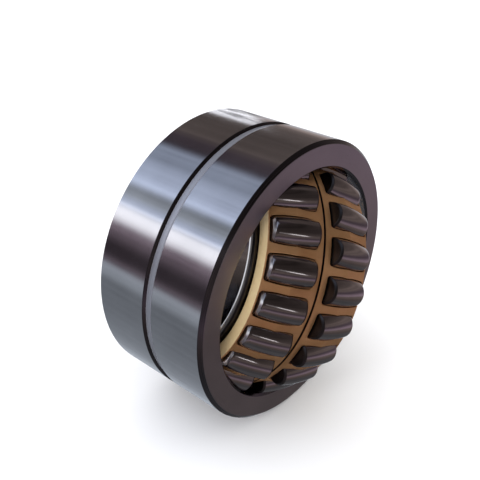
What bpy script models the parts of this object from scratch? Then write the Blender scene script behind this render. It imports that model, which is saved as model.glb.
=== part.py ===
"""Spherical roller bearing, 110 mm bore, 180 mm outside diameter, 82 mm wide.

The outer ring stands on its outside surface. The inner set, which is the inner
ring, the guide ring, two window cages and two rows of barrel rollers, is
swivelled inside the spherical raceway, the way a loose bearing is opened.

Frame: the origin is the bearing's centre, Y is the outer ring's axis, +Z is up.
Units are metres. The inner set is modelled around its own Z axis.
"""

import math

import bmesh
import bpy
from mathutils import Matrix, Vector

NAME = "spherical_roller_bearing"
MM = 0.001

# Outer ring
OUTER_RADIUS = 90.0 * MM
OUTER_WIDTH = 82.0 * MM
OUTER_CHAMFER = 2.2 * MM
SPHERE_RADIUS = 83.5 * MM
FACE_BEVEL = 1.2 * MM
GROOVE_WIDTH = 7.0 * MM
GROOVE_FLOOR = 3.6 * MM
GROOVE_DEPTH = 1.7 * MM
OIL_HOLE_RADIUS = 2.5 * MM
OIL_HOLE_ANGLES = (math.radians(50.0), math.radians(230.0))

# Inner ring
BORE_RADIUS = 55.0 * MM
INNER_WIDTH = 74.0 * MM
BORE_CHAMFER = 2.5 * MM
RIB_RADIUS = 62.0 * MM
RIB_CHAMFER = 1.0 * MM

# Rollers, in two rows that lean towards each other
ROLLERS_PER_ROW = 22
ROLLER_RADIUS = 9.0 * MM
ROLLER_LENGTH = 27.6 * MM
ROLLER_CHAMFER = 0.9 * MM
CONTACT_ANGLE = math.radians(14.8)
ROW_A_PHASE = math.radians(5.7)
ROW_B_PHASE = math.radians(0.3)

# Cages, one for each row
CAGE_OUTER_RADIUS = 76.7 * MM
CAGE_RIDGE_Z = 18.0 * MM
CAGE_FACE_Z = 34.2 * MM
CAGE_FACE_OUTER_RADIUS = 72.0 * MM
CAGE_FACE_INNER_RADIUS = 63.2 * MM
CAGE_INNER_RADIUS = 72.0 * MM
CAGE_WALL_Z = 5.0 * MM
CAGE_LIP_Z = 31.4 * MM
CAGE_EDGE = 0.5 * MM

# Running clearances
RACEWAY_GAP = 0.35 * MM
POCKET_GAP = 0.35 * MM
POCKET_OUTER_GAP = 0.2 * MM
POCKET_INNER_GAP = 1.2 * MM
CAGE_SPLIT_GAP = 0.3 * MM
GUIDE_GAP = 0.4 * MM

# Rollers lie against the lower end of their pockets: row a slides towards the middle
ROW_A_SLIDE = POCKET_INNER_GAP - POCKET_OUTER_GAP
ROW_B_SLIDE = 0.0

# The swivel that opens the bearing, turned from the closed position
SWIVEL_ANGLE = math.radians(65.0)
SWIVEL_AXIS_TILT = math.radians(26.1)

# Facets around each turned piece
OUTER_STEPS = 64
INNER_STEPS = 48
GUIDE_STEPS = 48
CAGE_STEPS = 3 * ROLLERS_PER_ROW
ROLLER_STEPS = 12
OUTER_RACEWAY_STEPS = 8
INNER_RACEWAY_STEPS = 3
BARREL_STEPS = 3

OIL_HOLE_STEPS = 12
ROLLER_PITCH = 2.0 * math.pi / ROLLERS_PER_ROW

# The centre of a roller seen from the bearing's centre
ROLLER_CENTRE_DISTANCE = SPHERE_RADIUS - RACEWAY_GAP - ROLLER_RADIUS
ROLLER_CENTRE_R = ROLLER_CENTRE_DISTANCE * math.cos(CONTACT_ANGLE)
ROLLER_CENTRE_Z = ROLLER_CENTRE_DISTANCE * math.sin(CONTACT_ANGLE)


def clear_scene():
    for obj in list(bpy.data.objects):
        bpy.data.objects.remove(obj, do_unlink=True)


def make_collection(name):
    collection = bpy.data.collections.new(name)
    bpy.context.scene.collection.children.link(collection)
    return collection


def make_material(name, colour, metallic, roughness):
    material = bpy.data.materials.new(name)
    material.use_nodes = True
    shader = material.node_tree.nodes["Principled BSDF"]
    shader.inputs["Base Color"].default_value = (*colour, 1.0)
    shader.inputs["Metallic"].default_value = metallic
    shader.inputs["Roughness"].default_value = roughness
    material.diffuse_color = (*colour, 1.0)
    return material


def turned(name, profile, steps, collection, material=None, closed=True):
    """A piece turned on a lathe: a profile of (radius, height) swept around Z."""
    mesh = bpy.data.meshes.new(name)
    shape = bmesh.new()
    points = [shape.verts.new((radius, 0.0, height)) for radius, height in profile]
    for start, end in zip(points, points[1:]):
        shape.edges.new((start, end))
    if closed:
        shape.edges.new((points[-1], points[0]))
    shape.to_mesh(mesh)
    shape.free()
    if material is not None:
        mesh.materials.append(material)
    obj = bpy.data.objects.new(name, mesh)
    collection.objects.link(obj)
    screw = obj.modifiers.new("turn", "SCREW")
    screw.axis = "Z"
    screw.steps = steps
    screw.render_steps = steps
    screw.use_merge_vertices = True
    screw.merge_threshold = 0.00002
    return obj


def cut(obj, cutter):
    cutter.hide_render = True
    cutter.display_type = "WIRE"
    boolean = obj.modifiers.new("cut", "BOOLEAN")
    boolean.operation = "DIFFERENCE"
    boolean.solver = "EXACT"
    boolean.object = cutter


def spread(first, last, count):
    """Evenly spaced values from first to last."""
    return [first + (last - first) * index / count for index in range(count + 1)]


def sphere_arc(radius, first_z, last_z, steps):
    """Points on a sphere about the bearing's centre, as (radius, height)."""
    first = math.asin(first_z / radius)
    last = math.asin(last_z / radius)
    return [
        (radius * math.cos(angle), radius * math.sin(angle))
        for angle in spread(first, last, steps)
    ]


def roller_frame(side):
    """Where a roller sits at phase 0: side is +1 for row a and -1 for row b."""
    place = Matrix.Translation((ROLLER_CENTRE_R, 0.0, side * ROLLER_CENTRE_Z))
    return place @ Matrix.Rotation(-side * CONTACT_ANGLE, 4, "Y")


def barrel_sag(height):
    """How far the barrel's side falls in from its widest radius at this height."""
    return SPHERE_RADIUS - math.sqrt(SPHERE_RADIUS**2 - height**2)


def barrel_profile(gap, top_gap, bottom_gap):
    """A barrel roller grown by gaps, from its top centre to its bottom centre."""
    upper = ROLLER_LENGTH / 2.0 + top_gap
    lower = -ROLLER_LENGTH / 2.0 - bottom_gap
    edge = ROLLER_CHAMFER
    side = [
        (ROLLER_RADIUS - barrel_sag(height) + gap, height)
        for height in spread(upper - edge, lower + edge, BARREL_STEPS)
    ]
    top = [(0.0, upper), (ROLLER_RADIUS - barrel_sag(upper) + gap - edge, upper)]
    bottom = [(ROLLER_RADIUS - barrel_sag(lower) + gap - edge, lower), (0.0, lower)]
    return top + side + bottom


def outer_ring_profile():
    half = OUTER_WIDTH / 2.0
    edge = OUTER_CHAMFER
    bevel_z = half - FACE_BEVEL
    bevel_radius = math.sqrt(SPHERE_RADIUS**2 - bevel_z**2)
    mouth = GROOVE_WIDTH / 2.0
    floor = GROOVE_FLOOR / 2.0
    outside = [
        (OUTER_RADIUS - edge, half),
        (OUTER_RADIUS, half - edge),
        (OUTER_RADIUS, mouth),
        (OUTER_RADIUS - GROOVE_DEPTH, floor),
        (OUTER_RADIUS - GROOVE_DEPTH, -floor),
        (OUTER_RADIUS, -mouth),
        (OUTER_RADIUS, edge - half),
        (OUTER_RADIUS - edge, -half),
    ]
    raceway = sphere_arc(SPHERE_RADIUS, -bevel_z, bevel_z, OUTER_RACEWAY_STEPS)
    lip = bevel_radius + FACE_BEVEL
    return outside + [(lip, -half)] + raceway + [(lip, half)]


def inner_ring_profile():
    half = INNER_WIDTH / 2.0
    edge = RIB_CHAMFER
    frame = roller_frame(1)
    race_points = []
    half_race = ROLLER_LENGTH / 2.0
    for along in spread(half_race + POCKET_GAP, -half_race, INNER_RACEWAY_STEPS):
        inner_side = ROLLER_RADIUS - barrel_sag(along) + RACEWAY_GAP
        point = frame @ Vector((-inner_side, 0.0, along))
        race_points.append((point.x, point.z))
    rib_radius, rib_z = race_points[0]
    shoulder = rib_z + (RIB_RADIUS - rib_radius) * math.tan(CONTACT_ANGLE)
    upper = [
        (BORE_RADIUS + BORE_CHAMFER, half),
        (RIB_RADIUS - edge, half),
        (RIB_RADIUS, half - edge),
        (RIB_RADIUS, shoulder),
    ] + race_points
    lower = [(radius, -height) for radius, height in reversed(upper)]
    bore = [
        (BORE_RADIUS, BORE_CHAMFER - half),
        (BORE_RADIUS, half - BORE_CHAMFER),
    ]
    return upper + lower + bore


def pocket_end_z(radius):
    """Height of the inner end of row a's pockets at this radius."""
    reach = ROLLER_LENGTH / 2.0 + POCKET_INNER_GAP
    end = roller_frame(1) @ Vector((0.0, 0.0, -reach))
    return end.z + (radius - end.x) * math.tan(CONTACT_ANGLE)


def guide_ring_profile():
    land = inner_ring_profile()
    inner = max(radius for radius, height in land) + GUIDE_GAP
    outer = CAGE_INNER_RADIUS - GUIDE_GAP
    inner_half = pocket_end_z(inner)
    outer_half = pocket_end_z(outer)
    return [
        (outer, outer_half),
        (outer, -outer_half),
        (inner, -inner_half),
        (inner, inner_half),
    ]


def cage_profile(side):
    """A cage half for one row; side is +1 for row a and -1 for row b."""
    cone_z = CAGE_FACE_Z - CAGE_EDGE
    split = CAGE_SPLIT_GAP / 2.0
    profile = [
        (CAGE_FACE_INNER_RADIUS, CAGE_FACE_Z),
        (CAGE_FACE_OUTER_RADIUS - CAGE_EDGE, CAGE_FACE_Z),
        (CAGE_FACE_OUTER_RADIUS, cone_z),
        (CAGE_OUTER_RADIUS, CAGE_RIDGE_Z),
        (CAGE_OUTER_RADIUS, split + CAGE_EDGE),
        (CAGE_OUTER_RADIUS - CAGE_EDGE, split),
        (CAGE_INNER_RADIUS, split),
        (CAGE_INNER_RADIUS, CAGE_WALL_Z),
        (CAGE_FACE_INNER_RADIUS, CAGE_LIP_Z),
    ]
    if side > 0:
        return profile
    return [(radius, -height) for radius, height in reversed(profile)]


def pocket_cutter(name, side, phase, collection):
    """The pockets of one cage half: a barrel for each roller, grown by the gaps."""
    flats = 1.0 / math.cos(math.pi / ROLLER_STEPS)
    ends = (POCKET_OUTER_GAP, POCKET_INNER_GAP)[::side]
    barrel_points = barrel_profile(POCKET_GAP, *ends)
    profile = [(radius * flats, height) for radius, height in barrel_points]
    barrel = turned(name + "_barrel", profile, ROLLER_STEPS, collection, closed=False)
    depsgraph = bpy.context.evaluated_depsgraph_get()
    single = bpy.data.meshes.new_from_object(barrel.evaluated_get(depsgraph))
    bpy.data.objects.remove(barrel, do_unlink=True)

    flats_sideways = Matrix.Rotation(math.pi / ROLLER_STEPS, 4, "Z")
    pockets = bmesh.new()
    for index in range(ROLLERS_PER_ROW):
        turn = Matrix.Rotation(phase + index * ROLLER_PITCH, 4, "Z")
        count = len(pockets.verts)
        pockets.from_mesh(single)
        pockets.verts.ensure_lookup_table()
        place = turn @ roller_frame(side) @ flats_sideways
        bmesh.ops.transform(pockets, matrix=place, verts=pockets.verts[count:])
    mesh = bpy.data.meshes.new(name)
    pockets.to_mesh(mesh)
    pockets.free()
    bpy.data.meshes.remove(single)
    cutter = bpy.data.objects.new(name, mesh)
    collection.objects.link(cutter)
    return cutter


def oil_hole_cutter(angle, collection):
    """A drill for one oil hole, from the groove's floor into the raceway."""
    drill = bmesh.new()
    middle = (OUTER_RADIUS + SPHERE_RADIUS) / 2.0
    place = Matrix.Rotation(-angle, 4, "Y") @ Matrix.Translation((middle, 0.0, 0.0))
    bmesh.ops.create_cone(
        drill,
        cap_ends=True,
        segments=OIL_HOLE_STEPS,
        radius1=OIL_HOLE_RADIUS,
        radius2=OIL_HOLE_RADIUS,
        depth=OUTER_RADIUS - SPHERE_RADIUS + 10.0 * MM,
        matrix=place @ Matrix.Rotation(math.pi / 2.0, 4, "Y"),
    )
    mesh = bpy.data.meshes.new("oil_hole")
    drill.to_mesh(mesh)
    drill.free()
    cutter = bpy.data.objects.new("oil_hole", mesh)
    collection.objects.link(cutter)
    return cutter


def make_outer_ring(parts, cutters, steel):
    """The ring lies along Y and stands on one of its own facets."""
    ring = turned("outer_ring", outer_ring_profile(), OUTER_STEPS, parts, steel)
    half_facet = math.pi / OUTER_STEPS
    ring.rotation_euler = (math.pi / 2.0, half_facet, 0.0)
    for angle in OIL_HOLE_ANGLES:
        cut(ring, oil_hole_cutter(angle, cutters))
    return ring


def make_inner_set_frame(parts):
    """An empty at the bearing's centre: its Z is the inner set's axis."""
    frame = bpy.data.objects.new("inner_set", None)
    parts.objects.link(frame)
    swivel_axis = Vector((math.sin(SWIVEL_AXIS_TILT), 0.0, math.cos(SWIVEL_AXIS_TILT)))
    closed = Matrix.Rotation(-math.pi / 2.0, 4, "X")
    frame.matrix_world = Matrix.Rotation(SWIVEL_ANGLE, 4, swivel_axis) @ closed
    return frame


def make_cage(name, side, phase, frame, parts, cutters, brass):
    cage = turned(name, cage_profile(side), CAGE_STEPS, parts, brass)
    cage.parent = frame
    cutter = pocket_cutter(name + "_pockets", side, phase, cutters)
    cutter.parent = frame
    cut(cage, cutter)
    return cage


def make_rollers(name, side, phase, slide, frame, parts, steel):
    """One row of rollers, each with its origin and its Z on its own axis."""
    profile = barrel_profile(0.0, 0.0, 0.0)
    centre = roller_frame(side) @ Vector((0.0, 0.0, -slide))
    for index in range(ROLLERS_PER_ROW):
        roller_name = f"{name}_{index + 1:02d}"
        roller = turned(roller_name, profile, ROLLER_STEPS, parts, steel, closed=False)
        angle = phase + index * ROLLER_PITCH
        roller.parent = frame
        roller.location = (
            centre.x * math.cos(angle),
            centre.x * math.sin(angle),
            centre.z,
        )
        roller.rotation_euler = (0.0, -side * CONTACT_ANGLE, angle)


def main():
    clear_scene()
    parts = make_collection(NAME)
    cutters = make_collection("cutters")
    ring_steel = make_material("ring_steel", (0.30, 0.28, 0.29), 1.0, 0.30)
    roller_steel = make_material("roller_steel", (0.42, 0.40, 0.41), 1.0, 0.18)
    cage_brass = make_material("cage_brass", (0.72, 0.50, 0.24), 1.0, 0.38)

    make_outer_ring(parts, cutters, ring_steel)
    frame = make_inner_set_frame(parts)
    inner_ring = turned("inner_ring", inner_ring_profile(), INNER_STEPS, parts, ring_steel)
    inner_ring.parent = frame
    guide_ring = turned("guide_ring", guide_ring_profile(), GUIDE_STEPS, parts, ring_steel)
    guide_ring.parent = frame
    make_cage("cage_a", 1, ROW_A_PHASE, frame, parts, cutters, cage_brass)
    make_cage("cage_b", -1, ROW_B_PHASE, frame, parts, cutters, cage_brass)
    make_rollers("roller_a", 1, ROW_A_PHASE, ROW_A_SLIDE, frame, parts, roller_steel)
    make_rollers("roller_b", -1, ROW_B_PHASE, ROW_B_SLIDE, frame, parts, roller_steel)


main()
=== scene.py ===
"""Looks of the spherical roller bearing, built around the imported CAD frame.

The CAD solids are faceted. Each one is replaced by a smooth piece of the same size
that rides on the same body, with filleted edges, in ground, turned or polished steel
or in turned brass. The bearing's sizes are in millimetres; the camera, the lights and
the floor are in metres.
"""

import math

import bmesh
import bpy
from mathutils import Matrix, Vector


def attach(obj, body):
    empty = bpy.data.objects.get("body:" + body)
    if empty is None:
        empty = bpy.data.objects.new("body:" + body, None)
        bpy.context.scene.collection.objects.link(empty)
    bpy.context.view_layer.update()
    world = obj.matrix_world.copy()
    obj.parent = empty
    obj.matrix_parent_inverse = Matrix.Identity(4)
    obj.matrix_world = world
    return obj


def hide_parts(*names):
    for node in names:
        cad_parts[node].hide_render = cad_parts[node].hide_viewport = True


MM = 0.001

# Outer ring
OUTER_RADIUS = 90.0
OUTER_WIDTH = 82.0
OUTER_CHAMFER = 2.2
SPHERE_RADIUS = 83.5
FACE_BEVEL = 1.2
GROOVE_WIDTH = 7.0
GROOVE_FLOOR = 3.6
GROOVE_DEPTH = 1.7
GROOVE_RISE = 0.6
OIL_HOLE_RADIUS = 2.5
OIL_HOLE_ANGLES = (50.0, 230.0)

# Inner ring
BORE_RADIUS = 55.0
INNER_WIDTH = 74.0
BORE_CHAMFER = 2.5
RIB_RADIUS = 62.0
RIB_CHAMFER = 1.0

# Rollers
ROLLER_RADIUS = 9.0
ROLLER_LENGTH = 27.6
ROLLER_CHAMFER = 0.9
CONTACT_ANGLE = math.radians(14.8)
RACEWAY_GAP = 0.35
POCKET_GAP = 0.35
POCKET_OUTER_GAP = 0.2
POCKET_INNER_GAP = 1.2

# Cages
CAGE_OUTER_RADIUS = 76.7
CAGE_RIDGE_Z = 18.0
CAGE_FACE_Z = 34.2
CAGE_FACE_OUTER_RADIUS = 72.0
CAGE_FACE_INNER_RADIUS = 63.2
CAGE_INNER_RADIUS = 72.0
CAGE_WALL_Z = 5.0
CAGE_LIP_Z = 31.4
CAGE_SPLIT_GAP = 0.3
GUIDE_GAP = 0.4

# How the inner set is swivelled, and where each row's rollers start
SWIVEL_ANGLE = math.radians(65.0)
SWIVEL_AXIS_TILT = math.radians(26.1)
ROLLERS_PER_ROW = 22
ROW_A_PHASE = math.radians(5.7)
ROW_B_PHASE = math.radians(0.3)
ROW_A_SLIDE = POCKET_INNER_GAP - POCKET_OUTER_GAP
ROW_B_SLIDE = 0.0

# Detail finer than the CAD's, first the radii of the fillets
EDGE_ROUNDING = 0.3
GROOVE_LIP_ROUNDING = 0.15
GROOVE_DEEP_ROUNDING = 0.35
GROOVE_SHALLOW_ROUNDING = 0.5
MOUTH_ROUNDING = 0.25
BORE_ROUNDING = 0.6
BORE_FACE_ROUNDING = 1.4
SHOULDER_ROUNDING = 0.2
ROLLER_ROUNDING = 0.25
OUTER_RIM_END_ROUNDING = 0.6
OUTER_RIM_SIDE_ROUNDING = 0.5
CAGE_FACE_ROUNDING = 0.5
# Broken edges around the pockets
POCKET_EDGE = 0.25
POCKET_EDGE_SEGMENTS = 2
# Rim of the rollers' outer ends, which carries the painted glint of the end steel
OUTER_RIM = 1.3
# Ground band on the inner ring's side face, beside the bore chamfer; the rest of that face is
# painted shade
BRIGHT_RIM = 1.6
# Dark relief where the two cages meet, in near-black steel as painted shade
RELIEF_WIDTH = 0.5
RELIEF_DEPTH = 2.5

# Camera
CAMERA_PLACE = (-0.2843, -0.2349, 0.2363)
CAMERA_AZIMUTH = math.radians(-49.41)
CAMERA_ELEVATION = math.radians(30.90)
CAMERA_LENS = 50.99
CAMERA_NEAR = 0.01

# Studio, as it shows in the steel. The stops of PANELS, ROOM and GLARE follow readings of
# the photo's tones by the direction they reflect, rounded and adjusted.
# Tints are red, green and blue shares.
COOL = (0.88, 1.0, 1.28)
SLATE = (0.92, 1.0, 1.12)
WARM = (1.25, 1.0, 0.93)
PLUM = (1.30, 1.0, 1.20)
WHITE = (1.0, 1.0, 1.05)
# The ramps around the Y axis start this many degrees before +X.
RAMP_START = 60.0
# Panels stand around the Y axis: angle in degrees from +X towards +Z, brightness, tint.
PANELS = [
    (-58, 0.60, SLATE),
    (-34, 0.75, WHITE),
    (-14, 0.60, WHITE),
    (-4, 0.30, WARM),
    (6, 0.12, WARM),
    (30, 0.08, WARM),
    (50, 0.09, WARM),
    (57, 0.11, WARM),
    (65, 0.055, PLUM),
    (76, 0.045, PLUM),
    (82, 0.42, COOL),
    (90, 0.36, COOL),
    (98, 0.46, COOL),
    (106, 0.66, COOL),
    (112, 0.60, COOL),
    (118, 1.00, COOL),
    (125, 0.30, SLATE),
    (132, 0.42, SLATE),
    (139, 0.90, COOL),
    (145, 1.60, WHITE),
    (151, 1.60, WHITE),
    (159, 0.20, PLUM),
    (168, 0.10, PLUM),
    (175, 0.030, PLUM),
    (184, 0.035, PLUM),
    (190, 0.12, PLUM),
    (195, 0.48, SLATE),
    (201, 0.38, SLATE),
    (208, 0.20, SLATE),
    (240, 0.24, SLATE),
    (273, 0.34, SLATE),
    (288, 0.50, SLATE),
]
# The front, by height (0 straight down, 0.5 level, 1 straight up): brightness, tint.
ROOM = [
    (0.00, 0.10, WHITE),
    (0.10, 0.08, WHITE),
    (0.19, 0.11, WARM),
    (0.25, 0.16, WARM),
    (0.30, 0.23, PLUM),
    (0.36, 0.13, PLUM),
    (0.42, 0.07, PLUM),
    (0.48, 0.12, WARM),
    (0.55, 0.11, WARM),
    (0.63, 0.07, WARM),
    (0.72, 0.04, WARM),
    (0.85, 0.035, WARM),
    (1.00, 0.025, WARM),
]
# How much lighter the room is to the right, and between which shares of X it gets so
ROOM_RIGHT = 1.35
ROOM_RIGHT_EDGE = (0.2, 0.8)
# Streaks in the panels and in the room: how many, darkest, brightest
PANEL_STREAKS = (130.0, 0.74, 1.24)
ROOM_STREAKS = (14.0, 0.7, 1.35)
STREAK_DETAIL = 3.0
# Crumpled wrapping behind the far half, as the panels: angle, brightness, tint.
GLARE = [
    (-18, 0.25, WHITE),
    (-9, 0.60, WHITE),
    (-1, 1.80, WHITE),
    (12, 2.20, WHITE),
    (18, 1.20, WHITE),
    (23, 0.20, WARM),
]
# The shares of a turn over which it begins and ends
GLARE_FADE_IN = 0.02
GLARE_FADE_OUT = 0.01
# Its folds: noise, the values between which a fold turns bright, and both tones
FOLD_SCALE = 13.0
FOLD_DETAIL = 5.0
FOLD_DISTORTION = 1.5
FOLD_EDGE = (0.45, 0.53)
FOLD_TONES = (0.05, 1.10)
# Where one zone of the studio gives way to the next, by a direction's share of Y
GLARE_EDGE = (0.575, 0.60)
BACKDROP_EDGE = (0.88, 0.96)
FRONT_EDGE = (-0.30, -0.10)
# How far the front zone's edge leans out towards the floor
FRONT_LEAN = 0.55
# The backdrop at the far side
BACKDROP_TONE = (1.15, 1.15, 1.18, 1.0)
# The floor, and the soft light from above that falls on it
FLOOR_TONE = (0.92, 0.92, 0.92, 1.0)
FLOOR_ROUGHNESS = 0.9
FLOOR_RADIUS = 8.0
FLOOR_STEPS = 64
FLOOR_LIGHT = 3.9
FLOOR_LIGHT_SPREAD = math.radians(150.0)
LIGHT_DISTANCE = 2.0
# Soft boxes: name, direction, width, length, brightness, colour, tilt in degrees
LIGHTS = [
    ("strip", (-0.25, -0.94, 0.21), 0.52, 0.10, 1.9, (1.0, 1.0, 1.0), -28.0),
    ("strip_glow", (-0.32, -0.92, 0.24), 1.00, 0.16, 0.35, (1.0, 0.96, 0.98), -28.0),
]

# How finely the pieces are divided: steps around an axis, and stations along an outline
RING_STEPS = 288
ROLLER_STEPS = 72
POCKET_STEPS = 96
OIL_HOLE_STEPS = 48
CAGE_SEGMENT_STEPS = 14
SPHERE_STATIONS = 60
BARREL_STATIONS = 24
RACE_STATIONS = 20
FILLET_STEPS = 4
# The largest share of an edge that a fillet takes, and how far off its support points are
FILLET_SHARE = 0.4
SUPPORT = 0.12
# Edges that turn more than this look sharp, and around the pockets are broken
SHARP_ANGLE = math.radians(38.0)
BEVEL_ANGLE = math.radians(40.0)
# Tolerances, in radians and in metres
END_TOLERANCE = 1e-4
WELD_DISTANCE = 0.00001

# Most of a noise texture's values lie between these
NOISE_LOW = 0.3
NOISE_HIGH = 0.7
LATHE_PLACE = "lathe_place"

# Finishes as indices into a piece's materials: the outer and guide ring's, and a roller's
GROUND, FACE, TURNED, RACEWAY, GROOVE = range(5)
ROLLER_SIDE, ROLLER_END, ROLLER_INNER_END = range(3)


# ---------------------------------------------------------------- outlines

def fillet(corner, before, after, radius):
    """Points that round a corner off, with a support point on each side."""
    towards_before = (before - corner).normalized()
    towards_after = (after - corner).normalized()
    half = towards_before.angle(towards_after) / 2.0
    reach = radius / math.tan(half)
    longest = FILLET_SHARE * min((before - corner).length, (after - corner).length)
    reach = min(reach, longest)
    start = corner + towards_before * reach
    end = corner + towards_after * reach
    points = [start + towards_before * min(SUPPORT, longest * FILLET_SHARE)]
    for step in range(FILLET_STEPS + 1):
        t = step / FILLET_STEPS
        points.append(start * (1 - t) ** 2 + corner * 2 * t * (1 - t) + end * t * t)
    points.append(end + towards_after * min(SUPPORT, longest * FILLET_SHARE))
    return points


def outline(corners, closed=True):
    """(points, finishes) from corners of (radius, height, fillet radius, finish that follows)."""
    places = [Vector((radius, height)) for radius, height, *_ in corners]
    points, finishes = [], []
    count = len(corners)
    for index, (_, _, rounding, finish) in enumerate(corners):
        if rounding == 0 or (not closed and index in (0, count - 1)):
            points.append(places[index])
            finishes.append(finish)
            continue
        arc = fillet(places[index], places[index - 1], places[(index + 1) % count], rounding)
        points.extend(arc)
        finishes.extend([finish] * len(arc))
    return points, finishes


def sphere_arc(first_z, last_z, finish):
    """Corners along the spherical raceway, between two heights."""
    first = math.asin(first_z / SPHERE_RADIUS)
    last = math.asin(last_z / SPHERE_RADIUS)
    corners = []
    for station in range(SPHERE_STATIONS + 1):
        angle = first + (last - first) * station / SPHERE_STATIONS
        radius = SPHERE_RADIUS * math.cos(angle)
        corners.append((radius, SPHERE_RADIUS * math.sin(angle), 0, finish))
    return corners


# ---------------------------------------------------------------- meshes

def add_object(name, data):
    """An object that shows this mesh, light or camera, in the scene."""
    obj = bpy.data.objects.new(name, data)
    bpy.context.scene.collection.objects.link(obj)
    return obj


def evaluated_mesh(obj):
    """The object's mesh with its modifiers applied."""
    depsgraph = bpy.context.evaluated_depsgraph_get()
    return bpy.data.meshes.new_from_object(obj.evaluated_get(depsgraph))


def in_metres(matrix):
    """A matrix for lengths in millimetres, made to fit meshes in metres."""
    return Matrix.Scale(MM, 4) @ matrix @ Matrix.Scale(1 / MM, 4)


def on_circle(radius, height, angle):
    """The place at an angle around Z, in metres."""
    return (radius * math.cos(angle) * MM, radius * math.sin(angle) * MM, height * MM)


def lathe(name, profile, steps, materials, closed=True):
    """A turned mesh: the outline swept around Z, one material index to each stretch."""
    points, finishes = profile
    shape = bmesh.new()
    rings = []
    for radius, height in points:
        count = steps if radius > 0.0 else 1
        angles = [2 * math.pi * step / steps for step in range(count)]
        rings.append([shape.verts.new(on_circle(radius, height, angle)) for angle in angles])
    pairs = list(zip(rings, rings[1:], finishes))
    if closed:
        pairs.append((rings[-1], rings[0], finishes[-1]))
    for upper, lower, finish in pairs:
        for step in range(steps):
            after = (step + 1) % steps
            corners = [
                upper[step % len(upper)],
                lower[step % len(lower)],
                lower[after % len(lower)],
                upper[after % len(upper)],
            ]
            face = shape.faces.new(list(dict.fromkeys(corners)))
            face.material_index = finish
            face.smooth = True
    mesh = bpy.data.meshes.new(name)
    shape.to_mesh(mesh)
    shape.free()
    for material in materials:
        mesh.materials.append(material)
    mesh.set_sharp_from_angle(angle=SHARP_ANGLE)
    return mesh


def place(name, mesh, matrix, body, slot, *nodes):
    """Shows a mesh in place of CAD nodes, riding on their body.

    The mesh keeps the places its points had on the lathe, for its turning marks.
    """
    shape = mesh.copy()
    turned = shape.attributes.new(LATHE_PLACE, "FLOAT_VECTOR", "POINT")
    for mark, vert in zip(turned.data, shape.vertices):
        mark.vector = vert.co
    shape.transform(matrix)
    piece = add_object(name, shape)
    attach(piece, body)
    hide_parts(*nodes)


# ---------------------------------------------------------------- materials

def shader_of(material):
    """The material's Principled BSDF."""
    return material.node_tree.nodes["Principled BSDF"]


def new_material(name, colour, roughness, metallic=1.0):
    """A metal with its plain colour and roughness, which the detail then varies."""
    material = bpy.data.materials.new(name)
    material.use_nodes = True
    shader = shader_of(material)
    shader.inputs["Metallic"].default_value = metallic
    shader.inputs["Base Color"].default_value = (*colour, 1.0)
    shader.inputs["Roughness"].default_value = roughness
    return material


def add_node(material, kind, **values):
    """A node with its named settings and inputs filled in."""
    node = material.node_tree.nodes.new(kind)
    for key, value in values.items():
        if key in node.inputs:
            node.inputs[key].default_value = value
        else:
            setattr(node, key, value)
    return node


def link(material, output, target):
    material.node_tree.links.new(output, target)


def lathe_place(material):
    """Where a point of the piece was on the lathe, whose axis is Z."""
    node = add_node(material, "ShaderNodeAttribute", attribute_name=LATHE_PLACE)
    return node.outputs["Vector"]


def stretched_noise(material, across, along, detail=4.0):
    """Noise drawn out along circles around the lathe's axis, as turning leaves it."""
    scale = add_node(material, "ShaderNodeMapping")
    scale.inputs["Scale"].default_value = (along, along, across)
    noise = add_node(material, "ShaderNodeTexNoise", Detail=detail, Scale=1.0)
    link(material, lathe_place(material), scale.inputs["Vector"])
    link(material, scale.outputs["Vector"], noise.inputs["Vector"])
    return noise.outputs["Fac"]


def ring_noise(material, across, along, detail=3.0):
    """Noise that changes with the distance from the lathe's axis, for a turned face."""
    split = add_node(material, "ShaderNodeSeparateXYZ")
    flat = add_node(material, "ShaderNodeCombineXYZ")
    length = add_node(material, "ShaderNodeVectorMath", operation="LENGTH")
    scaled = add_node(material, "ShaderNodeMath", operation="MULTIPLY")
    scaled.inputs[1].default_value = across
    around = add_node(material, "ShaderNodeVectorMath", operation="SCALE")
    around.inputs["Scale"].default_value = along
    lifted = add_node(material, "ShaderNodeCombineXYZ")
    joined = add_node(material, "ShaderNodeVectorMath", operation="ADD")
    noise = add_node(material, "ShaderNodeTexNoise", Detail=detail, Scale=1.0)
    link(material, lathe_place(material), split.inputs[0])
    link(material, split.outputs["X"], flat.inputs["X"])
    link(material, split.outputs["Y"], flat.inputs["Y"])
    link(material, flat.outputs[0], length.inputs[0])
    link(material, length.outputs["Value"], scaled.inputs[0])
    link(material, flat.outputs[0], around.inputs[0])
    link(material, scaled.outputs[0], lifted.inputs["Z"])
    link(material, around.outputs[0], joined.inputs[0])
    link(material, lifted.outputs[0], joined.inputs[1])
    link(material, joined.outputs[0], noise.inputs["Vector"])
    return noise.outputs["Fac"]


def patch_noise(material, scale, detail=4.0):
    """Even noise, for stains."""
    noise = add_node(material, "ShaderNodeTexNoise", Detail=detail, Scale=scale)
    link(material, lathe_place(material), noise.inputs["Vector"])
    return noise.outputs["Fac"]


def to_range(material, value, low, high):
    """A noise value brought between two numbers."""
    node = add_node(material, "ShaderNodeMapRange")
    node.inputs["From Min"].default_value = NOISE_LOW
    node.inputs["From Max"].default_value = NOISE_HIGH
    node.inputs["To Min"].default_value = low
    node.inputs["To Max"].default_value = high
    link(material, value, node.inputs["Value"])
    return node.outputs["Result"]


def multiply(material, first, second):
    """Two values multiplied."""
    node = add_node(material, "ShaderNodeMath", operation="MULTIPLY")
    link(material, first, node.inputs[0])
    link(material, second, node.inputs[1])
    return node.outputs[0]


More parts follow.
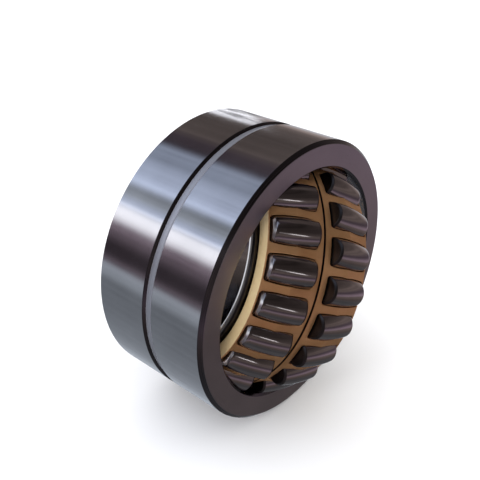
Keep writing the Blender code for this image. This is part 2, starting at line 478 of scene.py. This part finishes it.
def tint(material, value, dark, light):
    """Base colour between two tones, chosen by a noise value."""
    ramp = add_node(material, "ShaderNodeValToRGB")
    stops = ((NOISE_LOW, dark), (NOISE_HIGH, light))
    for element, (position, colour) in zip(ramp.color_ramp.elements, stops):
        element.position = position
        element.color = (*colour, 1.0)
    link(material, value, ramp.inputs["Fac"])
    link(material, ramp.outputs["Color"], shader_of(material).inputs["Base Color"])


def bump(material, value, strength, depth):
    """Relief from a noise value, its depth in metres."""
    node = add_node(material, "ShaderNodeBump", Strength=strength, Distance=depth)
    link(material, value, node.inputs["Height"])
    link(material, node.outputs["Normal"], shader_of(material).inputs["Normal"])


def roughen(material, value):
    link(material, value, shader_of(material).inputs["Roughness"])


def ground_steel():
    """Outside surface: fine circumferential grinding lines and faint oil stains."""
    material = new_material("ground_steel", (0.58, 0.58, 0.60), roughness=0.18)
    lines = stretched_noise(material, across=9000.0, along=60.0)
    stains = patch_noise(material, scale=26.0, detail=6.0)
    tint(material, stains, (0.52, 0.52, 0.54), (0.62, 0.62, 0.64))
    roughen(material, multiply(
        material,
        to_range(material, lines, 0.10, 0.15),
        to_range(material, stains, 0.85, 1.15),
    ))
    bump(material, lines, strength=0.05, depth=0.00002)
    return material


def face_steel():
    """Side faces: matt, finely ground in rings."""
    material = new_material("face_steel", (0.36, 0.34, 0.365), roughness=0.34)
    lines = ring_noise(material, across=7000.0, along=40.0)
    stains = patch_noise(material, scale=18.0, detail=6.0)
    tint(material, stains, (0.31, 0.295, 0.32), (0.41, 0.385, 0.41))
    roughen(material, multiply(
        material,
        to_range(material, lines, 0.29, 0.39),
        to_range(material, stains, 0.9, 1.1),
    ))
    bump(material, lines, strength=0.08, depth=0.00003)
    return material


def turned_steel():
    """Chamfers and the groove's lip: left as turned, darker than the ground surfaces."""
    material = new_material("turned_steel", (0.13, 0.125, 0.14), roughness=0.24)
    lines = stretched_noise(material, across=5000.0, along=30.0)
    tint(material, lines, (0.10, 0.095, 0.11), (0.16, 0.155, 0.17))
    roughen(material, to_range(material, lines, 0.20, 0.28))
    bump(material, lines, strength=0.10, depth=0.00004)
    return material


def groove_steel():
    """The oil groove's floor: a bright, matt turned finish."""
    material = new_material("groove_steel", (0.36, 0.37, 0.42), roughness=0.38, metallic=0.7)
    lines = stretched_noise(material, across=5000.0, along=30.0)
    tint(material, lines, (0.32, 0.33, 0.38), (0.40, 0.41, 0.46))
    roughen(material, to_range(material, lines, 0.32, 0.44))
    bump(material, lines, strength=0.10, depth=0.00004)
    return material


def raceway_steel():
    """Raceways: honed bright."""
    material = new_material("raceway_steel", (0.50, 0.48, 0.49), roughness=0.12)
    lines = stretched_noise(material, across=6000.0, along=40.0)
    stains = patch_noise(material, scale=30.0)
    tint(material, stains, (0.45, 0.43, 0.44), (0.54, 0.52, 0.53))
    roughen(material, to_range(material, lines, 0.10, 0.16))
    bump(material, lines, strength=0.03, depth=0.00002)
    return material


def roller_side_steel():
    """Barrel sides: polished, with faint turning rings."""
    material = new_material("roller_side_steel", (0.42, 0.39, 0.40), roughness=0.10)
    lines = stretched_noise(material, across=7000.0, along=50.0)
    stains = patch_noise(material, scale=60.0)
    tint(material, stains, (0.37, 0.345, 0.35), (0.46, 0.43, 0.44))
    roughen(material, to_range(material, lines, 0.09, 0.15))
    bump(material, lines, strength=0.03, depth=0.00002)
    return material


def roller_end_painted_glint_steel():
    """Roller ends that run against the cage's outer wall, ground in rings; their near-white tone
    is a painted glint.
    """
    material = new_material("roller_end_painted_glint_steel", (0.94, 0.92, 0.92), roughness=0.34)
    lines = ring_noise(material, across=6000.0, along=60.0)
    tint(material, lines, (0.91, 0.89, 0.89), (0.97, 0.95, 0.95))
    roughen(material, to_range(material, lines, 0.30, 0.38))
    bump(material, lines, strength=0.06, depth=0.00003)
    return material


def painted_shade_steel():
    """Painted shade: near-black steel on the inner ring's ribs and side faces, the inner roller
    ends and the relief between the cages.
    """
    material = new_material("painted_shade_steel", (0.09, 0.08, 0.08), roughness=0.34)
    lines = ring_noise(material, across=6000.0, along=60.0)
    tint(material, lines, (0.06, 0.055, 0.055), (0.12, 0.11, 0.11))
    roughen(material, to_range(material, lines, 0.28, 0.42))
    bump(material, lines, strength=0.06, depth=0.00003)
    return material


def face_brass_painted_light():
    """The cages' pale side faces, finely turned: a paler, matt copy of the brass that paints on
    the light they catch.
    """
    material = new_material("face_brass_painted_light", (0.95, 0.74, 0.43), roughness=0.45, metallic=0.0)
    lines = ring_noise(material, across=5000.0, along=50.0)
    stains = patch_noise(material, scale=160.0, detail=6.0)
    tint(material, stains, (0.91, 0.67, 0.34), (0.98, 0.76, 0.42))
    roughen(material, to_range(material, lines, 0.40, 0.50))
    bump(material, lines, strength=0.12, depth=0.00005)
    return material


def cage_brass():
    """The cages' outside and pockets: turned and milled, a deeper brown."""
    material = new_material("cage_brass", (0.72, 0.40, 0.19), roughness=0.42, metallic=0.90)
    lines = stretched_noise(material, across=4000.0, along=40.0)
    stains = patch_noise(material, scale=45.0, detail=6.0)
    tint(material, stains, (0.63, 0.335, 0.15), (0.81, 0.465, 0.23))
    roughen(material, multiply(
        material,
        to_range(material, lines, 0.36, 0.48),
        to_range(material, stains, 0.85, 1.15),
    ))
    bump(material, lines, strength=0.12, depth=0.00005)
    return material


# ---------------------------------------------------------------- pieces

def outer_ring_mesh(materials):
    """The outer ring without its oil holes, in one material to each of its finishes."""
    half = OUTER_WIDTH / 2
    edge = OUTER_CHAMFER
    mouth = GROOVE_WIDTH / 2
    floor = GROOVE_FLOOR / 2
    lip_z = half - FACE_BEVEL
    lip_radius = math.sqrt(SPHERE_RADIUS**2 - lip_z**2)
    deep = OUTER_RADIUS - GROOVE_DEPTH
    corners = [
        (OUTER_RADIUS - edge, half, EDGE_ROUNDING, TURNED),
        (OUTER_RADIUS, half - edge, EDGE_ROUNDING, GROUND),
        (OUTER_RADIUS, mouth, GROOVE_LIP_ROUNDING, TURNED),
        (deep, floor, GROOVE_DEEP_ROUNDING, GROOVE),
        (deep + GROOVE_RISE, -floor, GROOVE_SHALLOW_ROUNDING, GROOVE),
        (OUTER_RADIUS, -mouth, GROOVE_LIP_ROUNDING, GROUND),
        (OUTER_RADIUS, edge - half, EDGE_ROUNDING, TURNED),
        (OUTER_RADIUS - edge, -half, EDGE_ROUNDING, FACE),
        (lip_radius + FACE_BEVEL, -half, MOUTH_ROUNDING, TURNED),
    ]
    corners += sphere_arc(-lip_z, lip_z, RACEWAY)
    # The raceway's last point starts the bevel
    corners[-1] = (*corners[-1][:3], TURNED)
    corners.append((lip_radius + FACE_BEVEL, half, MOUTH_ROUNDING, FACE))
    return lathe("outer_ring_visual", outline(corners), RING_STEPS, materials)


def roller_frame(side):
    """A roller's place in the inner set's frame at phase 0."""
    distance = SPHERE_RADIUS - RACEWAY_GAP - ROLLER_RADIUS
    radius = distance * math.cos(CONTACT_ANGLE)
    height = side * distance * math.sin(CONTACT_ANGLE)
    centre = Matrix.Translation((radius, 0.0, height))
    return centre @ Matrix.Rotation(-side * CONTACT_ANGLE, 4, "Y")


def barrel_radius(along):
    """A roller's radius at a distance from its middle."""
    return ROLLER_RADIUS - SPHERE_RADIUS + math.sqrt(SPHERE_RADIUS**2 - along**2)


def barrel_corners(gap, top_gap, bottom_gap, rounding):
    """A barrel from its top centre to its bottom centre, this much larger than a roller."""
    upper = ROLLER_LENGTH / 2 + top_gap
    lower = -ROLLER_LENGTH / 2 - bottom_gap
    edge = ROLLER_CHAMFER
    side = []
    for station in range(BARREL_STATIONS + 1):
        along = upper - edge + (lower - upper + 2 * edge) * station / BARREL_STATIONS
        corner_rounding = rounding if station in (0, BARREL_STATIONS) else 0
        side.append((barrel_radius(along) + gap, along, corner_rounding, ROLLER_SIDE))
    upper_rim = barrel_radius(upper) + gap - edge
    lower_rim = barrel_radius(lower) + gap - edge
    top = [(0.0, upper, 0, ROLLER_END), (upper_rim, upper, rounding, ROLLER_SIDE)]
    bottom = [(lower_rim, lower, rounding, ROLLER_END), (0.0, lower, 0, ROLLER_END)]
    return top + side + bottom


def roller_mesh(side_steel, painted_glint_steel, painted_shade_steel):
    """A barrel whose top is the end that faces out of the bearing, with a near-white rim as a
    painted glint; the other end is dark as painted shade.
    """
    corners = barrel_corners(0.0, 0.0, 0.0, ROLLER_ROUNDING)
    half = ROLLER_LENGTH / 2
    rim = barrel_radius(half)
    # The top's rim is a wider chamfer, in the finish of the end, whose near-white tone paints a
    # glint
    corners[1] = (rim - OUTER_RIM, half, OUTER_RIM_END_ROUNDING, ROLLER_END)
    corners[2] = (rim, half - OUTER_RIM, OUTER_RIM_SIDE_ROUNDING, ROLLER_SIDE)
    # The inner end and its rim in near-black steel, as painted shade
    corners[-3:] = [(*corner[:3], ROLLER_INNER_END) for corner in corners[-3:]]
    profile = outline(corners, closed=False)
    steels = [side_steel, painted_glint_steel, painted_shade_steel]
    return lathe("roller", profile, ROLLER_STEPS, steels, closed=False)


def inner_race(race_finish, land_finish):
    """Corners of row a's raceway, from the rib inwards; the last one starts the land."""
    frame = roller_frame(1)
    start = ROLLER_LENGTH / 2 + POCKET_GAP
    race = []
    for station in range(RACE_STATIONS + 1):
        along = start - (start + ROLLER_LENGTH / 2) * station / RACE_STATIONS
        point = frame @ Vector((-(barrel_radius(along) + RACEWAY_GAP), 0.0, along))
        race.append((point.x, point.z, 0, race_finish))
    race[-1] = (*race[-1][:2], EDGE_ROUNDING, land_finish)
    return race


def inner_ring_mesh(materials):
    """The inner ring, in ground, dark and raceway steel; the dark steel on its side faces and
    ribs is painted shade.
    """
    BRIGHT, DARK, RACE = range(3)
    half = INNER_WIDTH / 2
    edge = RIB_CHAMFER
    face_edge = BORE_RADIUS + BORE_CHAMFER
    race = inner_race(RACE, BRIGHT)
    shoulder = race[0][1] + (RIB_RADIUS - race[0][0]) * math.tan(CONTACT_ANGLE)
    upper = [
        (face_edge, half, BORE_FACE_ROUNDING, BRIGHT),
        (face_edge + BRIGHT_RIM, half, 0, DARK),
        (RIB_RADIUS - edge, half, EDGE_ROUNDING, DARK),
        (RIB_RADIUS, half - edge, EDGE_ROUNDING, DARK),
        (RIB_RADIUS, shoulder, SHOULDER_ROUNDING, DARK),
    ] + race
    lower = [(radius, -height, rounding) for radius, height, rounding, _ in reversed(upper)]
    finishes = [finish for *_, finish in upper][:-1]
    lower = [corner + (finish,) for corner, finish in zip(lower, reversed(finishes))]
    lower.append((face_edge, -half, BORE_FACE_ROUNDING, BRIGHT))
    bore = [
        (BORE_RADIUS, BORE_CHAMFER - half, BORE_ROUNDING, BRIGHT),
        (BORE_RADIUS, half - BORE_CHAMFER, BORE_ROUNDING, BRIGHT),
    ]
    corners = upper + lower + bore
    return lathe("inner_ring_visual", outline(corners), RING_STEPS, materials)


def guide_ring_mesh(materials):
    """The guide ring, in ground and face steel."""
    frame = roller_frame(1)
    half = ROLLER_LENGTH / 2

    def end_z(radius):
        """Height of the inner end of row a's pockets at this radius."""
        end = frame @ Vector((0.0, 0.0, -half - POCKET_INNER_GAP))
        return end.z + (radius - end.x) * math.tan(CONTACT_ANGLE)

    land = frame @ Vector((-(barrel_radius(half) + RACEWAY_GAP), 0.0, -half))
    inner = land.x + GUIDE_GAP
    outer = CAGE_INNER_RADIUS - GUIDE_GAP
    corners = [
        (outer, end_z(outer), EDGE_ROUNDING, GROUND),
        (outer, -end_z(outer), EDGE_ROUNDING, FACE),
        (inner, -end_z(inner), EDGE_ROUNDING, GROUND),
        (inner, end_z(inner), EDGE_ROUNDING, FACE),
    ]
    return lathe("guide_ring_visual", outline(corners), RING_STEPS, materials)


def cage_corners():
    """Row a's cage as a solid ring, in cage brass, in face brass made paler as painted light, and
    in dark steel as painted shade in the relief.
    """
    BROWN, PALE, DARK = range(3)
    split = CAGE_SPLIT_GAP / 2
    relief_z = split + RELIEF_WIDTH
    relief_radius = CAGE_OUTER_RADIUS - RELIEF_DEPTH
    return [
        (CAGE_FACE_INNER_RADIUS, CAGE_FACE_Z, EDGE_ROUNDING, PALE),
        (CAGE_FACE_OUTER_RADIUS, CAGE_FACE_Z, CAGE_FACE_ROUNDING, BROWN),
        (CAGE_OUTER_RADIUS, CAGE_RIDGE_Z, EDGE_ROUNDING, BROWN),
        (CAGE_OUTER_RADIUS, relief_z, 0, DARK),
        (relief_radius, relief_z, 0, DARK),
        (relief_radius, split, 0, BROWN),
        (CAGE_INNER_RADIUS, split, SHOULDER_ROUNDING, BROWN),
        (CAGE_INNER_RADIUS, CAGE_WALL_Z, EDGE_ROUNDING, BROWN),
        (CAGE_FACE_INNER_RADIUS, CAGE_LIP_Z, EDGE_ROUNDING, BROWN),
    ]


def swept(shape, points, finishes, first, last, steps):
    """The outline swept through part of a turn, closed by a face at each end."""
    rows = []
    for step in range(steps + 1):
        angle = first + (last - first) * step / steps
        rows.append([shape.verts.new(on_circle(*point, angle)) for point in points])
    count = len(points)
    for before, after in zip(rows, rows[1:]):
        for index in range(count):
            following = (index + 1) % count
            corners = (before[index], before[following], after[following], after[index])
            face = shape.faces.new(corners)
            face.material_index = finishes[index]
    shape.faces.new(list(reversed(rows[0])))
    shape.faces.new(rows[-1])


def without_ends(mesh, half_pitch):
    """Takes off the faces that close a segment, where the next one joins it."""
    shape = bmesh.new()
    shape.from_mesh(mesh)
    ends = []
    for face in shape.faces:
        angles = [abs(math.atan2(vert.co.y, vert.co.x)) for vert in face.verts]
        if all(abs(angle - half_pitch) < END_TOLERANCE for angle in angles):
            ends.append(face)
    bmesh.ops.delete(shape, geom=ends, context="FACES")
    shape.to_mesh(mesh)
    shape.free()
    return mesh


def cut_away(obj, cutter):
    """Takes the cutter's space out of an object, once its mesh is evaluated."""
    boolean = obj.modifiers.new(cutter.name, "BOOLEAN")
    boolean.operation = "DIFFERENCE"
    boolean.solver = "EXACT"
    boolean.object = cutter


def cage_segment(name, side, materials):
    """One pocket and half a bar on each side of it, open where the next segment joins."""
    half_pitch = math.pi / ROLLERS_PER_ROW
    points, finishes = outline(cage_corners())
    shape = bmesh.new()
    swept(shape, points, finishes, -half_pitch, half_pitch, CAGE_SEGMENT_STEPS)
    if side < 0:
        upside_down = Matrix.Scale(-1.0, 4, (0, 0, 1))
        bmesh.ops.transform(shape, matrix=upside_down, verts=shape.verts)
    bmesh.ops.recalc_face_normals(shape, faces=shape.faces)
    solid = bpy.data.meshes.new(name)
    shape.to_mesh(solid)
    shape.free()
    for material in materials:
        solid.materials.append(material)

    # The barrel that cuts the pocket is all in the cage's first finish
    ends = (POCKET_OUTER_GAP, POCKET_INNER_GAP)[::side]
    corners = [(*corner[:3], 0) for corner in barrel_corners(POCKET_GAP, *ends, 0)]
    profile = outline(corners, closed=False)
    barrel = lathe("pocket", profile, POCKET_STEPS, materials[:1], closed=False)
    cutter = add_object("pocket", barrel)
    cutter.matrix_world = in_metres(roller_frame(side))
    wedge = add_object(name, solid)
    cut_away(wedge, cutter)
    opened = add_object(name, without_ends(evaluated_mesh(wedge), half_pitch))
    bevel = opened.modifiers.new("broken_edges", "BEVEL")
    bevel.width = POCKET_EDGE * MM
    bevel.segments = POCKET_EDGE_SEGMENTS
    bevel.limit_method = "ANGLE"
    bevel.angle_limit = BEVEL_ANGLE
    bevel.use_clamp_overlap = False
    segment = evaluated_mesh(opened)
    for obj in (wedge, cutter, opened):
        bpy.data.objects.remove(obj)
    return segment


def cage_mesh(name, side, materials):
    """A cage: its segment repeated around the ring. Side is 1 for row a and -1 for row b."""
    segment = cage_segment(name, side, materials)
    whole = bmesh.new()
    for index in range(ROLLERS_PER_ROW):
        count = len(whole.verts)
        whole.from_mesh(segment)
        whole.verts.ensure_lookup_table()
        turn = Matrix.Rotation(2 * math.pi / ROLLERS_PER_ROW * index, 4, "Z")
        bmesh.ops.transform(whole, matrix=turn, verts=whole.verts[count:])
    bmesh.ops.remove_doubles(whole, verts=whole.verts, dist=WELD_DISTANCE)
    for face in whole.faces:
        face.smooth = True
    mesh = bpy.data.meshes.new(name + "_visual")
    whole.to_mesh(mesh)
    whole.free()
    for material in materials:
        mesh.materials.append(material)
    mesh.set_sharp_from_angle(angle=SHARP_ANGLE)
    return mesh


def drilled(mesh):
    """The outer ring with its oil holes, through the groove's floor."""
    ring = add_object("drilled", mesh)
    wall = OUTER_RADIUS - SPHERE_RADIUS
    middle = (OUTER_RADIUS + SPHERE_RADIUS) / 2 * MM
    outward = Matrix.Translation((middle, 0.0, 0.0)) @ Matrix.Rotation(math.pi / 2, 4, "Y")
    corners = [
        (0.0, wall, 0, TURNED),
        (OIL_HOLE_RADIUS, wall, 0, TURNED),
        (OIL_HOLE_RADIUS, -wall, 0, TURNED),
        (0.0, -wall, 0, TURNED),
    ]
    profile = outline(corners, closed=False)
    for angle in OIL_HOLE_ANGLES:
        drill = add_object("drill", lathe("drill", profile, OIL_HOLE_STEPS, [], closed=False))
        drill.matrix_world = Matrix.Rotation(-math.radians(angle), 4, "Z") @ outward
        cut_away(ring, drill)
    result = evaluated_mesh(ring)
    result.set_sharp_from_angle(angle=SHARP_ANGLE)
    for obj in [ring] + [modifier.object for modifier in ring.modifiers]:
        bpy.data.objects.remove(obj)
    return result


# ---------------------------------------------------------------- the bearing

def build_bearing():
    """All 49 pieces, in the places where the photo shows them."""
    ground = ground_steel()
    face = face_steel()
    turned = turned_steel()
    raceway = raceway_steel()
    # Near-black steel that paints the shade in hollows and on the rollers' inner ends
    dark = painted_shade_steel()
    # The cages' side faces in paler brass, as painted light
    cage_materials = [cage_brass(), face_brass_painted_light(), dark]

    along_y = Matrix.Rotation(-math.pi / 2, 4, "X")
    ring = drilled(outer_ring_mesh([ground, face, turned, raceway, groove_steel()]))
    place("outer_ring_visual", ring, along_y, "outer_ring", "ring_steel", "outer_ring")

    tilt = Vector((math.sin(SWIVEL_AXIS_TILT), 0.0, math.cos(SWIVEL_AXIS_TILT)))
    inner_set = Matrix.Rotation(SWIVEL_ANGLE, 4, tilt) @ along_y
    inner = inner_ring_mesh([ground, dark, raceway])
    place("inner_ring_visual", inner, inner_set, "inner_ring", "ring_steel", "inner_ring")
    guide = guide_ring_mesh([ground, face])
    place("guide_ring_visual", guide, inner_set, "guide_ring", "ring_steel", "guide_ring")

    # Rollers with a painted glint on their outer ends and painted shade on their inner ends
    barrel = roller_mesh(roller_side_steel(), roller_end_painted_glint_steel(), dark)
    rows = (("a", 1, ROW_A_PHASE, ROW_A_SLIDE), ("b", -1, ROW_B_PHASE, ROW_B_SLIDE))
    for row, side, phase, slide in rows:
        turn = Matrix.Rotation(phase, 4, "Z")
        name = "cage_" + row
        cage = cage_mesh(name, side, cage_materials)
        place(name + "_visual", cage, inner_set @ turn, name, "cage_brass", name)
        stand = roller_frame(side) @ Matrix.Translation((0.0, 0.0, -slide))
        if side < 0:
            stand = stand @ Matrix.Rotation(math.pi, 4, "X")
        stand = in_metres(stand)
        for index in range(ROLLERS_PER_ROW):
            name = f"roller_{row}_{index + 1:02d}"
            around = Matrix.Rotation(2 * math.pi * index / ROLLERS_PER_ROW, 4, "Z")
            matrix = inner_set @ turn @ around @ stand
            place(name + "_visual", barrel, matrix, name, "roller_steel", name)


# ---------------------------------------------------------------- studio

def turn_share(angle):
    """An angle around the Y axis as a share of a turn, counted from the ramps' start."""
    return (angle + RAMP_START) / 360.0


def around_stops(tones):
    """Tones placed by angle, as the stops of a ramp that runs once around the Y axis."""
    return [(turn_share(angle), *tone) for angle, *tone in tones]


def build_world():
    """A studio that only the bearing sees: tall light and dark panels around it."""
    world = bpy.data.worlds.new("studio")
    bpy.context.scene.world = world
    world.use_nodes = True
    tree = world.node_tree
    tree.nodes.clear()
    links = tree.links

    def feed(socket, value):
        """Links an output to a socket, or sets the socket to a plain value."""
        if isinstance(value, bpy.types.NodeSocket):
            links.new(value, socket)
        else:
            socket.default_value = value

    def math_node(operation, *values):
        node = tree.nodes.new("ShaderNodeMath")
        node.operation = operation
        for socket, value in zip(node.inputs, values):
            feed(socket, value)
        return node.outputs[0]

    def mapped(value, low, high, first=0.0, last=1.0, interpolation="LINEAR"):
        node = tree.nodes.new("ShaderNodeMapRange")
        node.interpolation_type = interpolation
        node.inputs["From Min"].default_value = low
        node.inputs["From Max"].default_value = high
        node.inputs["To Min"].default_value = first
        node.inputs["To Max"].default_value = last
        links.new(value, node.inputs["Value"])
        return node.outputs["Result"]

    def smooth_step(value, low, high):
        return mapped(value, low, high, interpolation="SMOOTHSTEP")

    def tone_ramp(value, tones):
        """A colour chosen by a value from (position, brightness, tint) stops."""
        node = tree.nodes.new("ShaderNodeValToRGB")
        elements = node.color_ramp.elements
        while len(elements) < len(tones):
            elements.new(0.5)
        for element, (position, _, _) in zip(elements, tones):
            element.position = position
        for element, (_, brightness, tint_shares) in zip(elements, tones):
            element.color = (*[brightness * share for share in tint_shares], 1.0)
        links.new(value, node.inputs["Fac"])
        return node.outputs["Color"]

    def streaks(value, scale, low, high):
        node = tree.nodes.new("ShaderNodeTexNoise")
        node.noise_dimensions = "1D"
        node.inputs["Scale"].default_value = scale
        node.inputs["Detail"].default_value = STREAK_DETAIL
        links.new(value, node.inputs["W"])
        return mapped(node.outputs["Fac"], NOISE_LOW, NOISE_HIGH, low, high)

    def scaled(colour, value):
        node = tree.nodes.new("ShaderNodeVectorMath")
        node.operation = "SCALE"
        links.new(colour, node.inputs[0])
        links.new(value, node.inputs["Scale"])
        return node.outputs[0]

    def mix(factor, first, second):
        node = tree.nodes.new("ShaderNodeMix")
        node.data_type = "RGBA"
        links.new(factor, node.inputs["Factor"])
        feed(node.inputs[6], first)
        feed(node.inputs[7], second)
        return node.outputs[2]

    # The direction that a ray leaves the bearing in
    direction = tree.nodes.new("ShaderNodeTexCoord").outputs["Generated"]
    split = tree.nodes.new("ShaderNodeSeparateXYZ")
    links.new(direction, split.inputs[0])
    x, y, z = split.outputs

    # Panels by their angle around the Y axis, from +X towards +Z
    around = math_node("ARCTAN2", z, x)
    share = math_node("ADD", math_node("DIVIDE", around, 2 * math.pi), turn_share(0.0))
    share = math_node("FRACT", share)
    panels = scaled(tone_ramp(share, around_stops(PANELS)), streaks(share, *PANEL_STREAKS))

    # Crumpled wrapping, which shows only in the far half
    folds = tree.nodes.new("ShaderNodeTexNoise")
    folds.inputs["Scale"].default_value = FOLD_SCALE
    folds.inputs["Detail"].default_value = FOLD_DETAIL
    folds.inputs["Distortion"].default_value = FOLD_DISTORTION
    links.new(direction, folds.inputs["Vector"])
    creases = mapped(folds.outputs["Fac"], *FOLD_EDGE, *FOLD_TONES)
    creased = scaled(tone_ramp(share, around_stops(GLARE)), creases)
    first = turn_share(GLARE[0][0])
    last = turn_share(GLARE[-1][0])
    begun = smooth_step(share, first, first + GLARE_FADE_IN)
    ended = smooth_step(share, last - GLARE_FADE_OUT, last)
    within = math_node("MULTIPLY", begun, math_node("SUBTRACT", 1.0, ended))
    within = math_node("MULTIPLY", within, smooth_step(y, *GLARE_EDGE))
    panels = mix(within, panels, creased)

    # The side the bearing is seen from: a dim room over a grey table, lighter to the right
    height = math_node("MULTIPLY_ADD", z, 0.5, 0.5)
    room = scaled(tone_ramp(height, ROOM), streaks(height, *ROOM_STREAKS))
    room = scaled(room, mapped(x, *ROOM_RIGHT_EDGE, 1.0, ROOM_RIGHT))

    behind = smooth_step(y, *BACKDROP_EDGE)
    far_side = mix(behind, panels, BACKDROP_TONE)
    below = math_node("MINIMUM", z, 0.0)
    beside = smooth_step(math_node("MULTIPLY_ADD", below, FRONT_LEAN, y), *FRONT_EDGE)
    everything = mix(beside, room, far_side)

    # The camera itself sees plain white
    seen = tree.nodes.new("ShaderNodeBackground")
    links.new(everything, seen.inputs["Color"])
    white = tree.nodes.new("ShaderNodeBackground")
    white.inputs["Color"].default_value = (1.0, 1.0, 1.0, 1.0)
    path = tree.nodes.new("ShaderNodeLightPath")
    chosen = tree.nodes.new("ShaderNodeMixShader")
    links.new(path.outputs["Is Camera Ray"], chosen.inputs["Fac"])
    links.new(seen.outputs[0], chosen.inputs[1])
    links.new(white.outputs[0], chosen.inputs[2])
    out = tree.nodes.new("ShaderNodeOutputWorld")
    links.new(chosen.outputs[0], out.inputs["Surface"])


def add_light(name, direction, width, length, brightness, colour, tilt):
    """A soft box that shows in the steel, aimed at the bearing. The tilt is in degrees."""
    data = bpy.data.lights.new(name, "AREA")
    data.shape = "RECTANGLE"
    data.size = width
    data.size_y = length
    data.energy = brightness * math.pi * width * length
    data.color = colour
    lamp = add_object(name, data)
    outward = Vector(direction).normalized()
    aim = outward.to_track_quat("Z", "Y").to_matrix().to_4x4()
    aim = aim @ Matrix.Rotation(math.radians(tilt), 4, "Z")
    lamp.matrix_world = Matrix.Translation(outward * LIGHT_DISTANCE) @ aim


def build_floor():
    """A pale floor under the bearing, left out of the steel's reflections."""
    material = bpy.data.materials.new("studio_floor")
    material.use_nodes = True
    shader = shader_of(material)
    shader.inputs["Base Color"].default_value = FLOOR_TONE
    shader.inputs["Roughness"].default_value = FLOOR_ROUGHNESS
    shader.inputs["Specular IOR Level"].default_value = 0.0
    shape = bmesh.new()
    bmesh.ops.create_circle(shape, cap_ends=True, segments=FLOOR_STEPS, radius=FLOOR_RADIUS)
    mesh = bpy.data.meshes.new("studio_floor")
    shape.to_mesh(mesh)
    shape.free()
    mesh.materials.append(material)
    floor = add_object("studio_floor", mesh)
    floor.location = (0.0, 0.0, -OUTER_RADIUS * MM)
    floor.visible_glossy = False


def build_studio():
    """The floor and the lights, in a view that keeps the photo's whites and its contrast."""
    bpy.context.scene.view_settings.view_transform = "Standard"
    build_floor()
    overhead = bpy.data.lights.new("overhead", "SUN")
    overhead.energy = FLOOR_LIGHT
    overhead.angle = FLOOR_LIGHT_SPREAD
    lamp = add_object("overhead", overhead)
    lamp.visible_glossy = False
    for light in LIGHTS:
        add_light(*light)


def build_camera():
    """The camera at the photo's angle, fitted to the outer ring's edges."""
    data = bpy.data.cameras.new("camera")
    data.lens = CAMERA_LENS
    data.clip_start = CAMERA_NEAR
    camera = add_object("camera", data)
    camera.location = CAMERA_PLACE
    camera.rotation_euler = (math.pi / 2 - CAMERA_ELEVATION, 0.0, CAMERA_AZIMUTH)
    bpy.context.scene.camera = camera


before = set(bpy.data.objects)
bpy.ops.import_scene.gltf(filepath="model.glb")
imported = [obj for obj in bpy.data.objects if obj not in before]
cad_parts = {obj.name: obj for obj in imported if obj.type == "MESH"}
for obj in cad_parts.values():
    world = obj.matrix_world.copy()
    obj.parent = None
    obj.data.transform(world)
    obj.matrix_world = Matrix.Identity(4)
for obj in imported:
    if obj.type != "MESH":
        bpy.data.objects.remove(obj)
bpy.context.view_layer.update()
build_bearing()
build_world()
build_studio()
build_camera()
